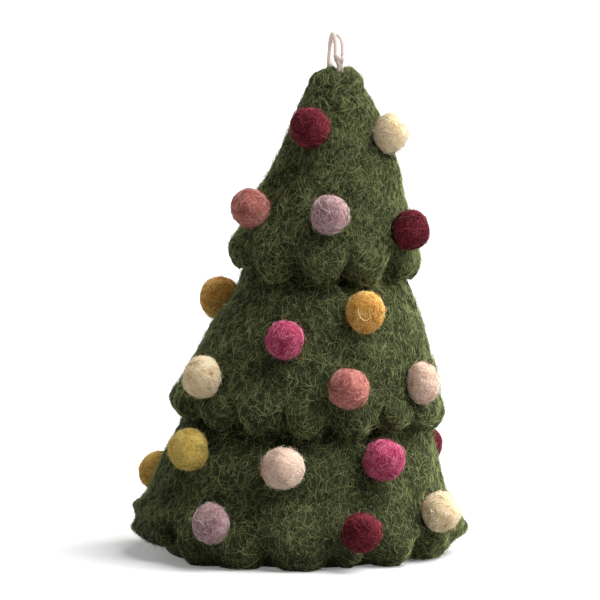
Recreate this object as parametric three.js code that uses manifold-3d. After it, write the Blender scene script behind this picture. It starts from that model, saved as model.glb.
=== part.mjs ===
// Felted wool Christmas tree with three scalloped tiers, sewn-on felt balls and a string loop.
// Units are millimetres, +Z is up, the side seen in the photo faces -Y and its right is +X.
// Bearings are degrees round the tree from the front (-Y) towards the right (+X).
import * as THREE from 'three';
import { mergeVertices } from 'three/addons/utils/BufferGeometryUtils.js';
import Module from 'manifold-3d';

const wasm = await Module();
wasm.setup();

const { clamp, smoothstep, degToRad, radToDeg, euclideanModulo, lerp } = THREE.MathUtils;

// Overall shape
const TREE_HEIGHT = 119;
const LEAN = 9.8;
const TILT_SHARE = 0.6;

// Felt walls, the edges of the hems, and the clearance kept between neighbouring pieces
const FELT = 3;
const CROWN_FELT = 3.6;
const HEM_EDGE = 0.8;
const BOTTOM_EDGE = 3.4;
const CLEARANCE = 0.3;
const FLAT_CUT = 0.5;

// Crown of the top tier
const CROWN_RADIUS = 6.5;
const CROWN_DEPTH = 5;

// Cones: height of a tier's hem, the cone's radius there, and its radius at the waist under the hem above
const TOP_HEM_HEIGHT = 67;
const TOP_HEM_RADIUS = 25.3;
const TOP_ROUND = 0.9;
const MIDDLE_HEM_HEIGHT = 31;
const MIDDLE_HEM_RADIUS = 36;
const MIDDLE_WAIST_RADIUS = 20.9;
const BOTTOM_HEM_RADIUS = 39.9;
const BOTTOM_WAIST_RADIUS = 31.4;
const WAIST_DROP = 1;
const TUCK = 13;

// Hems curl in until they rest on the tier below. The lowest one flares, then curls in to the floor.
const CURL_HEIGHT = 8;
const CURL_ROUND = 1.2;
const BOTTOM_EDGE_RADIUS = 36;
const BOTTOM_FLARE = 2.4;
const FLARE_LOW = 8;
const FLARE_HIGH = 17;

// Scalloped lobes: how high a full notch cuts in, how deep it dents the lowest hem, and how far up it shows
const NOTCH_HEIGHT = 6;
const BOTTOM_NOTCH_HEIGHT = 3.2;
const BOTTOM_DENT = 2.6;
const NOTCH_REACH = 12;
const LOBE_ROUND = 0.6;
const FACET_ANGLE = 7;
const FEWEST_FACETS = 4;
const CORE_FACETS = 48;

// Base pad
const PAD_THICKNESS = 3;

// Felt balls and the thread shank that each is sewn on with
const BALL_DIAMETER = 10;
const BALL_SINK = 1.7;
const SHANK_RADIUS = 0.5;
const SHANK_SHARE = 0.85;
const BALL_SIDES = 10;
const BALL_RINGS = 6;
const SHANK_SIDES = 5;

// Hanging string
const STRING_RADIUS = 0.42;
const KNOT_WIDTH = 2.1;
const KNOT_HEIGHT = 2.7;
const ROOT_RISE = 0.6;
const STITCH_RADIUS = 0.75;
const STITCH_DEPTH = 2.4;
const STRING_SIDES = 8;
const LEAST_STRING_GAP = 0.4;

// Lobes round each hem, going right from the back:
// [bearing of the notch where it starts, size of that notch, lift of its edge against a full notch]
const TOP_LOBES = [
  [-179, 0.8, 0.1],
  [-147, 0.9, 0.1],
  [-116, 0.8, 0.1],
  [-86, 0.8, 0.4],
  [-55, 0.8, 0],
  [-18, 1, 0.15],
  [15, 1, 0.15],
  [46, 1, 0.15],
  [80, 0.8, 0.1],
  [114, 0.9, 0.1],
  [148, 0.8, 0.1],
];
const MIDDLE_LOBES = [
  [-170, 0.8, 0],
  [-148, 0.9, 0],
  [-126, 0.8, 0],
  [-105, 0.9, 0],
  [-85, 0.8, 0],
  [-63, 0.9, 0],
  [-37, 0.9, 0],
  [-12, 1, 0],
  [10, 1, 0],
  [33, 1.1, 0.3],
  [52, 0.6, 0.3],
  [77, 0.8, 0.25],
  [101, 0.9, 0.1],
  [124, 0.8, 0],
  [146, 0.9, 0],
  [168, 0.8, 0],
];
const BOTTOM_LOBES = [
  [-176, 0.8, 0],
  [-157, 0.9, 0],
  [-138, 0.8, 0],
  [-119, 0.9, 0],
  [-99, 1, 0.9],
  [-52, 1.1, 0],
  [-33, 0.4, 0],
  [-11, 0.7, 0],
  [10, 1, 0.1],
  [25, 1, 0],
  [45, 1.1, 0.35],
  [93, 1.1, 0],
  [112, 0.9, 0],
  [131, 0.8, 0],
  [150, 0.9, 0],
  [168, 0.8, 0],
];

// Colours of the felt and the string
const GREEN = '#5b6a3f';
const STUFFING = '#d8d0bd';
const STRING_COLOUR = '#e0cfc2';
const BALL_COLOURS = {
  crimson: '#7c1f33',
  cream: '#d8c4a0',
  terracotta: '#a8625a',
  lilac: '#a5878b',
  mustard: '#b5873c',
  magenta: '#ad3a66',
  blush: '#cfae9f',
  yellow: '#b59c4c',
  ochre: '#9c742f',
};

// Where each ball is sewn: [colour, bearing, share of the way from hem to waist, size against the usual ball]
const TOP_BALLS = [
  ['crimson', -24.5, 0.775, 0.98],
  ['cream', 59.5, 0.76, 0.96],
  ['terracotta', -56, 0.335, 0.98],
  ['lilac', 0.5, 0.345, 0.98],
  ['crimson', 56.5, 0.285, 1],
  ['mustard', 168, 0.8, 1],
  ['magenta', 148, 0.39, 1],
  ['yellow', -148, 0.33, 1],
];
const MIDDLE_BALLS = [
  ['mustard', -121, 0.765, 1.02],
  ['mustard', 25.5, 0.845, 1],
  ['magenta', -14, 0.625, 0.98],
  ['cream', -49, 0.315, 1],
  ['terracotta', 16, 0.335, 1],
  ['blush', 55, 0.375, 0.96],
  ['crimson', 140, 0.75, 1],
  ['lilac', -172, 0.74, 1],
  ['ochre', 133, 0.3, 1.02],
  ['cream', -148, 0.33, 1.02],
];
const BOTTOM_BALLS = [
  ['yellow', -49.5, 0.85, 1.02],
  ['ochre', -115, 0.525, 0.97],
  ['blush', -7, 0.79, 1.06],
  ['magenta', 33, 0.87, 1.04],
  ['crimson', 123, 0.82, 1],
  ['lilac', -30, 0.335, 0.96],
  ['crimson', 21, 0.3, 1],
  ['cream', 57, 0.39, 1],
  ['terracotta', 145, 0.3, 1.04],
  ['mustard', 152, 0.82, 1.02],
  ['magenta', 170, 0.3, 1.02],
  ['blush', -176, 0.8, 1.04],
  ['cream', -155, 0.3, 1.04],
  ['crimson', -138, 0.8, 1],
];

// Lean of the whole tree

function leanAt(height) {
  return LEAN * smoothstep(height, 0, TREE_HEIGHT);
}

function slopeAt(height) {
  const share = clamp(height / TREE_HEIGHT, 0, 1);
  return (LEAN * 6 * share * (1 - share)) / TREE_HEIGHT;
}

// A point of the upright tree, moved to where the leaning tree has it.
function leaning(radius, bearing, height) {
  const x = radius * Math.sin(bearing);
  const y = -radius * Math.cos(bearing);
  return new THREE.Vector3(x + leanAt(height), y, height - x * slopeAt(height) * TILT_SHARE);
}

// Tiers: each is a cone, its hem curls in onto the tier below, and notches press in as far as that tier

function makeTier(name, below, sizes) {
  const tier = { name, below, ...sizes };
  tier.range = tier.waistHeight - tier.hemHeight;
  tier.slope = (tier.hemRadius - tier.waistRadius) / tier.range;
  tier.notchHeight = below ? NOTCH_HEIGHT : BOTTOM_NOTCH_HEIGHT;
  tier.dent = below ? NOTCH_HEIGHT * below.slope : BOTTOM_DENT;
  return tier;
}

const bottomTier = makeTier('bottom_tier', null, {
  hemHeight: -FLAT_CUT,
  hemRadius: BOTTOM_HEM_RADIUS,
  waistHeight: MIDDLE_HEM_HEIGHT - WAIST_DROP,
  waistRadius: BOTTOM_WAIST_RADIUS,
  topEdge: MIDDLE_HEM_HEIGHT + TUCK,
  curve: 1,
  lobes: BOTTOM_LOBES,
});

const middleTier = makeTier('middle_tier', bottomTier, {
  hemHeight: MIDDLE_HEM_HEIGHT,
  hemRadius: MIDDLE_HEM_RADIUS,
  waistHeight: TOP_HEM_HEIGHT - WAIST_DROP,
  waistRadius: MIDDLE_WAIST_RADIUS,
  topEdge: TOP_HEM_HEIGHT + TUCK,
  curve: 1,
  lobes: MIDDLE_LOBES,
});

const topTier = makeTier('top_tier', middleTier, {
  hemHeight: TOP_HEM_HEIGHT,
  hemRadius: TOP_HEM_RADIUS,
  waistHeight: TREE_HEIGHT - CROWN_DEPTH,
  waistRadius: CROWN_RADIUS,
  topEdge: null,
  curve: TOP_ROUND,
  lobes: TOP_LOBES,
});

// Radius of a tier's plain cone, which goes on upwards under the tier above.
function coneRadius(tier, height) {
  const drop = (tier.waistHeight - height) / tier.range;
  return lerp(tier.waistRadius, tier.hemRadius, drop > 0 ? drop ** tier.curve : drop);
}

function flaredRadius(tier, height) {
  const flare = tier.below ? 0 : BOTTOM_FLARE * (1 - smoothstep(height, FLARE_LOW, FLARE_HIGH));
  return coneRadius(tier, height) + flare;
}

function edgeRadius(tier) {
  return tier.below ? outerRadius(tier.below, tier.hemHeight) + CLEARANCE + HEM_EDGE : BOTTOM_EDGE_RADIUS;
}

// Outer radius in the middle of a lobe.
function outerRadius(tier, height) {
  const rise = (height - tier.waistHeight) / CROWN_DEPTH;
  if (!tier.topEdge && rise > 0) {
    return tier.waistRadius * Math.sqrt(1 - Math.min(rise, 1) ** 2);
  }
  const low = clamp(1 - (height - tier.hemHeight) / CURL_HEIGHT, 0, 1);
  const curl = flaredRadius(tier, tier.hemHeight) - edgeRadius(tier);
  return flaredRadius(tier, height) - curl * low ** CURL_ROUND;
}

// Inner radius: one felt thickness in from the cone, and always clear of the tier below.
function innerRadius(tier, height) {
  const wall = coneRadius(tier, height) - FELT;
  if (!tier.below) {
    return Math.min(wall, BOTTOM_EDGE_RADIUS - BOTTOM_EDGE);
  }
  const thin = Math.min(wall, outerRadius(tier, height) - HEM_EDGE);
  if (height > tier.below.topEdge) {
    return thin;
  }
  return Math.max(thin, outerRadius(tier.below, height) + CLEARANCE);
}

// The place on a lobe where a bearing falls: how hollow the hem is there and how far its edge is lifted.
function placeOnLobe(tier, lobe, across) {
  const { lobes } = tier;
  const [from, startNotch, lift] = lobes[lobe];
  const [nextFrom, endNotch] = lobes[(lobe + 1) % lobes.length];
  const to = lobe + 1 < lobes.length ? nextFrom : nextFrom + 360;
  const fullness = Math.sin(Math.PI * across) ** LOBE_ROUND;
  const notch = across < 0.5 ? startNotch : endNotch;
  return {
    bearing: degToRad(lerp(from, to, across)),
    width: to - from,
    hollow: notch * (1 - fullness),
    lift: lift * fullness,
  };
}

function placeAtBearing(tier, bearing) {
  const first = tier.lobes[0][0];
  const degrees = euclideanModulo(radToDeg(bearing) - first, 360) + first;
  const lobe = tier.lobes.findLastIndex(([from]) => from <= degrees);
  const { width } = placeOnLobe(tier, lobe, 0);
  return placeOnLobe(tier, lobe, (degrees - tier.lobes[lobe][0]) / width);
}

// Places round a tier, in even steps over each lobe.
function placesRound(tier) {
  return tier.lobes.flatMap((_, lobe) => {
    const { width } = placeOnLobe(tier, lobe, 0);
    const facets = Math.max(FEWEST_FACETS, Math.round(width / FACET_ANGLE));
    return Array.from({ length: facets }, (__, step) => placeOnLobe(tier, lobe, step / facets));
  });
}

// A point of a tier's wall. Notches press the whole wall in, but only the outer face of the lowest tier.
function wallPoint(tier, radius, place, height) {
  const inner = innerRadius(tier, height);
  const depth = tier.below ? 1 : clamp((radius - inner) / (outerRadius(tier, height) - inner), 0, 1);
  const share = 1 - smoothstep(height, tier.hemHeight, tier.hemHeight + NOTCH_REACH);
  const pressed = radius - depth * share * tier.dent * place.hollow;
  const raised = height + share * tier.notchHeight * (place.hollow + place.lift);
  return leaning(pressed, place.bearing, raised);
}

// Solids

function toManifold(geometry) {
  const bare = geometry.clone();
  bare.deleteAttribute('normal');
  bare.deleteAttribute('uv');
  const merged = mergeVertices(bare, 1e-5);
  return new wasm.Manifold(new wasm.Mesh({
    numProp: 3,
    vertProperties: new Float32Array(merged.attributes.position.array),
    triVerts: new Uint32Array(merged.index.array),
  }));
}

function toGeometry(solid) {
  const mesh = solid.getMesh();
  const geometry = new THREE.BufferGeometry();
  geometry.setAttribute('position', new THREE.BufferAttribute(mesh.vertProperties, 3));
  geometry.setIndex(new THREE.BufferAttribute(mesh.triVerts, 1));
  geometry.computeVertexNormals();
  return geometry;
}

// Turns a profile of (radius, height) pairs round the axis, then moves the points of each step by place().
function turned(profile, steps, place) {
  const points = profile.map(([radius, height]) => new THREE.Vector2(radius, height));
  const lathe = new THREE.LatheGeometry(points, steps);
  const position = lathe.attributes.position;
  const rows = profile.length;
  for (let step = 0; step <= steps; step += 1) {
    for (let row = 0; row < rows; row += 1) {
      const [radius, height] = profile[row];
      const at = place(radius, height, step % steps);
      position.setXYZ(step * rows + row, at.x, at.y, at.z);
    }
  }
  return toManifold(lathe);
}

// Heights of the rows of an inner face, from the hem up. The core has rows at the same heights.
function innerRows(tier) {
  const low = tier.hemHeight;
  if (!tier.below) {
    return [low, PAD_THICKNESS + CLEARANCE, FLARE_HIGH, MIDDLE_HEM_HEIGHT, tier.topEdge];
  }
  const covering = [low, lerp(low, low + CURL_HEIGHT, 0.5), low + CURL_HEIGHT, low + NOTCH_REACH];
  const high = tier.topEdge ? tier.topEdge - TUCK : tier.waistHeight;
  const rows = [...covering, tier.below.topEdge, lerp(tier.below.topEdge, high, 0.5), high];
  return tier.topEdge ? [...rows, tier.topEdge] : rows;
}

function outerRows(tier) {
  const low = tier.hemHeight;
  const curled = [0, 0.15, 0.4, 0.65, 1].map((share) => low + CURL_HEIGHT * share);
  const rows = [...curled, low + NOTCH_REACH];
  const span = (share) => lerp(low + NOTCH_REACH, tier.waistHeight, share);
  if (!tier.topEdge) {
    return [...rows, span(0.35), span(0.7)];
  }
  return [...rows, tier.below ? span(0.5) : FLARE_HIGH, tier.topEdge - TUCK, tier.topEdge];
}

function tierProfile(tier) {
  const inside = innerRows(tier).reverse().map((height) => [innerRadius(tier, height), height]);
  const outside = outerRows(tier).map((height) => [outerRadius(tier, height), height]);
  const wall = [...inside, ...outside];
  if (tier.topEdge) {
    return [...wall, wall[0]];
  }
  const shoulder = tier.waistHeight;
  const hollow = CROWN_DEPTH - CROWN_FELT;
  const crownTop = [90, 60, 35, 15].map((angle) => [
    tier.waistRadius * Math.sin(degToRad(angle)),
    shoulder + CROWN_DEPTH * Math.cos(degToRad(angle)),
  ]);
  return [
    [0, shoulder + hollow],
    [(tier.waistRadius - FELT) * 0.75, shoulder + hollow * 0.6],
    ...wall,
    ...crownTop,
    [0, TREE_HEIGHT],
  ];
}

function tierSolid(tier) {
  const places = placesRound(tier);
  const place = (radius, height, step) => wallPoint(tier, radius, places[step], height);
  return turned(tierProfile(tier), places.length, place);
}

function evenTurn(radius, height, step) {
  return leaning(radius, (step / CORE_FACETS) * 2 * Math.PI, height);
}

// Wool core: it fills the tiers from the base pad up, stepping in at the top edge of each tier.
function coreSolid() {
  const fill = (tier, height) => [innerRadius(tier, height) - CLEARANCE, height];
  const foot = PAD_THICKNESS + CLEARANCE;
  const profile = [[0, foot]];
  let level = foot;
  for (const tier of [bottomTier, middleTier, topTier]) {
    const rows = innerRows(tier).filter((height) => height > level);
    const last = rows.pop();
    const end = tier.topEdge ? last + CLEARANCE : last - CLEARANCE;
    profile.push(fill(tier, level), ...rows.map((height) => fill(tier, height)));
    profile.push([innerRadius(tier, last) - CLEARANCE, end]);
    level = end;
  }
  profile.push([0, level]);
  return turned(profile, CORE_FACETS, evenTurn);
}

function padSolid() {
  const radius = innerRadius(bottomTier, 0) - CLEARANCE;
  const profile = [[0, 0], [radius, 0], [radius, PAD_THICKNESS], [0, PAD_THICKNESS]];
  return turned(profile, CORE_FACETS, evenTurn);
}

// Balls

function seatOf(tier, bearingDegrees, height, diameter) {
  const bearing = degToRad(bearingDegrees);
  const surface = (turn, level) => {
    return wallPoint(tier, outerRadius(tier, level), placeAtBearing(tier, turn), level);
  };
  const step = 0.02;
  const sideways = surface(bearing + step, height).sub(surface(bearing - step, height));
  const upward = surface(bearing, height + 1).sub(surface(bearing, height - 1));
  const outward = sideways.cross(upward).normalize();
  const centre = surface(bearing, height).addScaledVector(outward, diameter / 2 - BALL_SINK);
  return { centre, outward };
}

// The ball with its thread shank, grown by the clearance where it is used to cut a seat.
function ballSolid(seat, diameter, grow) {
  const radius = diameter / 2 + grow;
  const turn = new THREE.Quaternion().setFromUnitVectors(new THREE.Vector3(0, 1, 0), seat.outward);
  const ball = new THREE.SphereGeometry(radius, BALL_SIDES, BALL_RINGS);
  const reach = diameter / 2 - BALL_SINK + FELT * SHANK_SHARE + grow;
  const shank = new THREE.CylinderGeometry(SHANK_RADIUS + grow, SHANK_RADIUS + grow, reach, SHANK_SIDES);
  shank.translate(0, -reach / 2, 0);
  [ball, shank].forEach((geometry) => {
    geometry.applyQuaternion(turn);
    geometry.translate(seat.centre.x, seat.centre.y, seat.centre.z);
  });
  return toManifold(ball).add(toManifold(shank));
}

// Hanging string: two strands of one string, knotted at the front and sewn through the crown

const crown = leaning(0, 0, TREE_HEIGHT);
const fromCrown = ([x, y, z]) => new THREE.Vector3(crown.x + x, crown.y + y, crown.z + z);

const FRONT_ROOT = [0.6, -2.3, ROOT_RISE];
const BACK_ROOT = [-2.0, 2.3, ROOT_RISE];
const RIGHT_STRAND = [
  BACK_ROOT,
  [-2.35, 1.6, 2.9],
  [-1.7, 1.1, 5.1],
  [-0.5, 0.5, 6.45],
  [0.45, -0.4, 7.0],
  [1.2, -1.2, 6.2],
  [1.5, -1.9, 4.6],
  [1.35, -2.2, 3.1],
  [0.8, -2.3, 1.9],
];
const LEFT_STRAND = [
  BACK_ROOT,
  [-2.0, 3.5, 2.6],
  [-1.9, 2.9, 5.8],
  [-1.4, 1.4, 7.6],
  [-0.95, -0.3, 7.7],
  [-0.65, -1.5, 6.2],
  [-0.45, -2.1, 4.4],
  [-0.2, -2.3, 3.0],
  [0.5, -2.3, 1.9],
];

function tube(points, radius, sides, spacing) {
  const curve = new THREE.CatmullRomCurve3(points.map(fromCrown), false, 'centripetal');
  const corners = [];
  for (let side = 0; side < sides; side += 1) {
    const angle = (side / sides) * 2 * Math.PI;
    corners.push(new THREE.Vector2(radius * Math.cos(angle), radius * Math.sin(angle)));
  }
  const steps = Math.max(4, Math.round(curve.getLength() / spacing));
  const options = { steps, extrudePath: curve, bevelEnabled: false };
  return { curve, geometry: new THREE.ExtrudeGeometry(new THREE.Shape(corners), options) };
}

function lump(width, height, [x, y, z]) {
  const at = fromCrown([x, y, z]);
  const geometry = new THREE.SphereGeometry(width / 2, 8, 6);
  geometry.rotateX(Math.PI / 2);
  geometry.scale(1, 1, height / width);
  return toManifold(geometry.translate(at.x, at.y, at.z));
}

function leastGap(first, second) {
  const own = first.getSpacedPoints(120);
  const other = second.getSpacedPoints(120);
  const middle = (points) => points.slice(18, 103);
  let least = Infinity;
  for (const point of middle(own)) {
    for (const against of middle(other)) {
      least = Math.min(least, point.distanceTo(against));
    }
  }
  return least - 2 * STRING_RADIUS;
}

const rightStrand = tube(RIGHT_STRAND, STRING_RADIUS, STRING_SIDES, STRING_RADIUS * 3);
const leftStrand = tube(LEFT_STRAND, STRING_RADIUS, STRING_SIDES, STRING_RADIUS * 3);
const stringGap = leastGap(rightStrand.curve, leftStrand.curve);
console.log(`least gap between the two strands ${stringGap.toFixed(2)} mm, wanted ${LEAST_STRING_GAP} mm`);
const strandLengths = [rightStrand, leftStrand].map(({ curve }) => curve.getLength().toFixed(1));
console.log(`strand lengths ${strandLengths.join(' and ')} mm`);

function loopSolid() {
  const knotPlace = [FRONT_ROOT[0] + 0.1, FRONT_ROOT[1], ROOT_RISE + KNOT_HEIGHT * 0.4];
  const knot = lump(KNOT_WIDTH, KNOT_HEIGHT, knotPlace);
  const frontRoot = lump(STITCH_RADIUS * 2, STITCH_RADIUS * 2, FRONT_ROOT);
  const backRoot = lump(STITCH_RADIUS * 2, STITCH_RADIUS * 2, BACK_ROOT);
  return toManifold(rightStrand.geometry)
    .add(toManifold(leftStrand.geometry))
    .add(knot)
    .add(frontRoot)
    .add(backRoot);
}

// The stitch through the crown, which ends a clearance below the loop's roots. Its channel rises further.
function stitchSolid(grow, rise) {
  const start = ROOT_RISE - STITCH_RADIUS - CLEARANCE + rise;
  const down = -STITCH_DEPTH;
  const [frontX, frontY] = FRONT_ROOT;
  const [backX, backY] = BACK_ROOT;
  const points = [
    [frontX, frontY, start],
    [frontX, frontY, down * 0.55],
    [lerp(frontX, backX, 0.2), lerp(frontY, backY, 0.2), down],
    [lerp(frontX, backX, 0.8), lerp(frontY, backY, 0.8), down],
    [backX, backY, down * 0.55],
    [backX, backY, start],
  ];
  return toManifold(tube(points, STITCH_RADIUS + grow, STRING_SIDES, STITCH_RADIUS).geometry);
}

// Assembly

const group = new THREE.Group();
group.name = 'pom_pom_tree_ornament';

function addPart(name, solid, colour, roughness) {
  const material = new THREE.MeshStandardMaterial({ color: colour, roughness, metalness: 0 });
  const mesh = new THREE.Mesh(toGeometry(solid), material);
  mesh.name = name;
  group.add(mesh);
}

const floorReach = BOTTOM_HEM_RADIUS * 4;
const floorBlock = toManifold(
  new THREE.BoxGeometry(floorReach, floorReach, floorReach).translate(0, 0, -floorReach / 2),
);
const stitchChannel = stitchSolid(CLEARANCE, CROWN_FELT);
const tiers = [
  { tier: bottomTier, solid: tierSolid(bottomTier).subtract(floorBlock), balls: BOTTOM_BALLS },
  { tier: middleTier, solid: tierSolid(middleTier), balls: MIDDLE_BALLS },
  { tier: topTier, solid: tierSolid(topTier).subtract(stitchChannel), balls: TOP_BALLS },
];

let ballNumber = 0;
const ballParts = [];
for (const { tier, balls } of tiers) {
  for (const [colour, bearing, share, size] of balls) {
    const height = lerp(tier.hemHeight, tier.waistHeight, share);
    const diameter = BALL_DIAMETER * size;
    const seat = seatOf(tier, bearing, height, diameter);
    const seatCut = ballSolid(seat, diameter, CLEARANCE);
    for (const other of tiers) {
      other.solid = other.solid.subtract(seatCut);
    }
    ballNumber += 1;
    const name = `pom_pom_${String(ballNumber).padStart(2, '0')}_${colour}`;
    ballParts.push({ name, solid: ballSolid(seat, diameter, 0), colour: BALL_COLOURS[colour] });
  }
}

addPart('base_pad', padSolid(), GREEN, 1);
addPart('wool_core', coreSolid().subtract(stitchChannel), STUFFING, 1);
tiers.forEach(({ tier, solid }) => addPart(tier.name, solid, GREEN, 1));
ballParts.forEach(({ name, solid, colour }) => addPart(name, solid, colour, 1));
addPart('loop_stitch', stitchSolid(0, 0), STRING_COLOUR, 0.9);
addPart('hanging_loop', loopSolid(), STRING_COLOUR, 0.9);

export default group;
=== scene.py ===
"""Felted wool tree ornament: three scalloped tiers, sewn-on felt balls and a string loop.

Shape formulas work in millimetres, as the CAD source does, and are turned to metres when a mesh is made.
Bearings are degrees round the tree from the front (-Y) towards the right (+X).
"""
import math

import bmesh
import bpy
import numpy as np
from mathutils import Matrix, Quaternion, Vector
from mathutils.bvhtree import BVHTree


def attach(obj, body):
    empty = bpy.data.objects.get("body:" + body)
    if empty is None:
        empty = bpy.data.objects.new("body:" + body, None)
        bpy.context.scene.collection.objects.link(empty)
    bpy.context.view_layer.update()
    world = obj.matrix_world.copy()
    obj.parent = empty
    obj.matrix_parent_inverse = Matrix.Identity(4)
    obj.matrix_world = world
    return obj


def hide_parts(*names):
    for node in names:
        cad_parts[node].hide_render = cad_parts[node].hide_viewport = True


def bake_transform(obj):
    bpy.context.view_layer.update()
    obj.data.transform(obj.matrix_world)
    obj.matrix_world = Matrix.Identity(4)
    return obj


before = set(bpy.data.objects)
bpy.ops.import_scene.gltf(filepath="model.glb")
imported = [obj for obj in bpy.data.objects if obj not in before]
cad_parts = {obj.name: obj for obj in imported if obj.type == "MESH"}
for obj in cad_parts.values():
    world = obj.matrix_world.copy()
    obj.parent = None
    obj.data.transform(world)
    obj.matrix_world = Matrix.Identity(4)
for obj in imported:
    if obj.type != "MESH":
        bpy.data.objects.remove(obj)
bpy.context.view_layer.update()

MM = 0.001

# Sizes shared with the CAD source
TREE_HEIGHT = 119
LEAN = 9.8
TILT_SHARE = 0.6
FELT = 3
CROWN_FELT = 3.6
CLEARANCE = 0.3
CROWN_RADIUS = 6.5
CROWN_DEPTH = 5
TUCK = 13
CURL_HEIGHT = 8
BOTTOM_FLARE = 2.4
FLARE_LOW = 8
FLARE_HIGH = 17
NOTCH_REACH = 12
LOBE_ROUND = 0.6
PAD_THICKNESS = 3
BALL_DIAMETER = 10
BALL_SINK = 1.7
STRING_DIAMETER = 0.84

# The felt's own shape: hems round off further than in the CAD, until their edges sink into the tier
# below. Lobes are puffy, and the tier below has a hollow behind each notch.
CURL_ROUND = 2.4
PUFF_ROUND = 1.4
LOBE_REACH = 6.5
POCKET_DEPTH = 3.4
POCKET_ROUND = 1.5
POCKET_BELOW = 3
POCKET_ABOVE = 1
POCKET_CLOSING = 4
TUCK_REACH = 8
SIDE_TUCK = 0.2
EDGE_FELT = 0.5
FURROW_LIMIT = 1.2
STAND_LOW = 4
STAND_HIGH = 11
FLAP_RADIUS = 40
FLAP_LOW = 10.5
FLAP_HIGH = 13.2
FLAP_WAVE = 0.4
FLAP_WAVE_PITCH = 4.4
FLAP_WAVE_CREST = 10.2
PAD_REACH = 32.6
BALL_SHRINK = 0.25

# Tiers. Lobes: bearing of the notch where a lobe starts, size of that notch, lift of the lobe's edge,
# and how many mm that edge stands out
BOTTOM = {
    "name": "bottom_tier",
    "below": None,
    "hem": -0.5,
    "hem_radius": 39.9,
    "waist": 30,
    "waist_radius": 31.4,
    "top_edge": 31 + TUCK,
    "curve": 1,
    "notch": 3.2,
    "dent": 5.0,
    "edge_radius": 36.6,
    "lobes": [
        (-176, 0.8, 0, 0), (-157, 0.9, 0, 0), (-138, 0.8, 0, 0), (-119, 0.9, 0, 0),
        (-99, 1, 1.35, 0), (-52, 1.9, 0, 0), (-33, 0.3, 0, 0), (-11, 0.9, 0, 0.5),
        (13, 1, 0.2, -2.8), (29, 1, 0.15, 0.5), (49, 1.2, 0.35, 0), (70, 0.1, 1.2, 1.2),
        (96, 1.1, 0, 0), (112, 0.9, 0, 0), (131, 0.8, 0, 0), (150, 0.9, 0, 0),
        (168, 0.8, 0, 0),
    ],
}
MIDDLE = {
    "name": "middle_tier",
    "below": BOTTOM,
    "hem": 31,
    "hem_radius": 36,
    "waist": 66,
    "waist_radius": 20.9,
    "top_edge": 67 + TUCK,
    "curve": 1,
    "notch": 6,
    "dent": 2.9,
    "edge_radius": 30.4,
    "tuck": 2.6,
    "left_tuck": 1.2,
    "lobes": [
        (-170, 0.8, 0, 0), (-148, 0.9, 0, 0), (-127, 0.8, 0, 0), (-109, 0.9, 0.1, 0.2),
        (-97, 0.8, 0.2, 0.3), (-57, 0.9, 0, 0.3), (-33, 0.9, 0, 0.3), (-10, 1, 0.1, 0.3),
        (12, 1, 0.1, 0.3), (34.5, 1.1, 0.35, 0.3), (52.5, 0.6, 0.2, 0.3), (77, 0.8, 0.05, 0.6),
        (101, 0.9, 0.1, 0.3), (124, 0.8, 0, 0), (146, 0.9, 0, 0), (168, 0.8, 0, 0),
    ],
}
TOP = {
    "name": "top_tier",
    "below": MIDDLE,
    "hem": 67,
    "hem_radius": 25.3,
    "waist": TREE_HEIGHT - CROWN_DEPTH,
    "waist_radius": CROWN_RADIUS,
    "top_edge": None,
    "curve": 0.9,
    "notch": 6,
    "dent": 3.6,
    "edge_radius": 20.4,
    "tuck": 1.8,
    "left_tuck": 0,
    "lobes": [
        (-179, 0.8, 0.1, 0.3), (-147, 0.9, 0.1, 0.3), (-116, 0.8, 0.1, 0.6), (-86, 0.8, 0.45, 0.9),
        (-52, 0.8, 0, 0.3), (-20, 1, 0.15, 0.3), (16, 1, 0.15, 0.3), (48, 1, 0.2, 0.5),
        (80, 0.8, 0.3, 0.6), (114, 0.9, 0.1, 0.3), (148, 0.8, 0.1, 0.3),
    ],
}

# Where each ball is sewn: tier, colour, bearing, share of the way from hem to waist, and size against
# the usual ball
BALLS = [
    (BOTTOM, "yellow", -49.5, 0.85, 1.02),
    (BOTTOM, "ochre", -115, 0.525, 0.97),
    (BOTTOM, "blush", -7, 0.79, 1.06),
    (BOTTOM, "magenta", 33, 0.87, 1.04),
    (BOTTOM, "crimson", 123, 0.82, 1),
    (BOTTOM, "lilac", -30, 0.335, 0.96),
    (BOTTOM, "crimson", 21, 0.3, 1),
    (BOTTOM, "cream", 57, 0.39, 1),
    (BOTTOM, "terracotta", 145, 0.3, 1.04),
    (BOTTOM, "mustard", 152, 0.82, 1.02),
    (BOTTOM, "magenta", 170, 0.3, 1.02),
    (BOTTOM, "blush", -176, 0.8, 1.04),
    (BOTTOM, "cream", -155, 0.3, 1.04),
    (BOTTOM, "crimson", -138, 0.8, 1),
    (MIDDLE, "mustard", -121, 0.765, 1.02),
    (MIDDLE, "mustard", 25.5, 0.845, 1),
    (MIDDLE, "magenta", -14, 0.625, 0.98),
    (MIDDLE, "cream", -49, 0.315, 1),
    (MIDDLE, "terracotta", 16, 0.335, 1),
    (MIDDLE, "blush", 55, 0.375, 0.96),
    (MIDDLE, "crimson", 140, 0.75, 1),
    (MIDDLE, "lilac", -172, 0.74, 1),
    (MIDDLE, "ochre", 133, 0.3, 1.02),
    (MIDDLE, "cream", -148, 0.33, 1.02),
    (TOP, "crimson", -24.5, 0.775, 0.98),
    (TOP, "cream", 59.5, 0.76, 0.96),
    (TOP, "terracotta", -56, 0.335, 0.98),
    (TOP, "lilac", 0.5, 0.345, 0.98),
    (TOP, "crimson", 56.5, 0.285, 1),
    (TOP, "mustard", 168, 0.8, 1),
    (TOP, "magenta", 148, 0.39, 1),
    (TOP, "yellow", -148, 0.33, 1),
]

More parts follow.
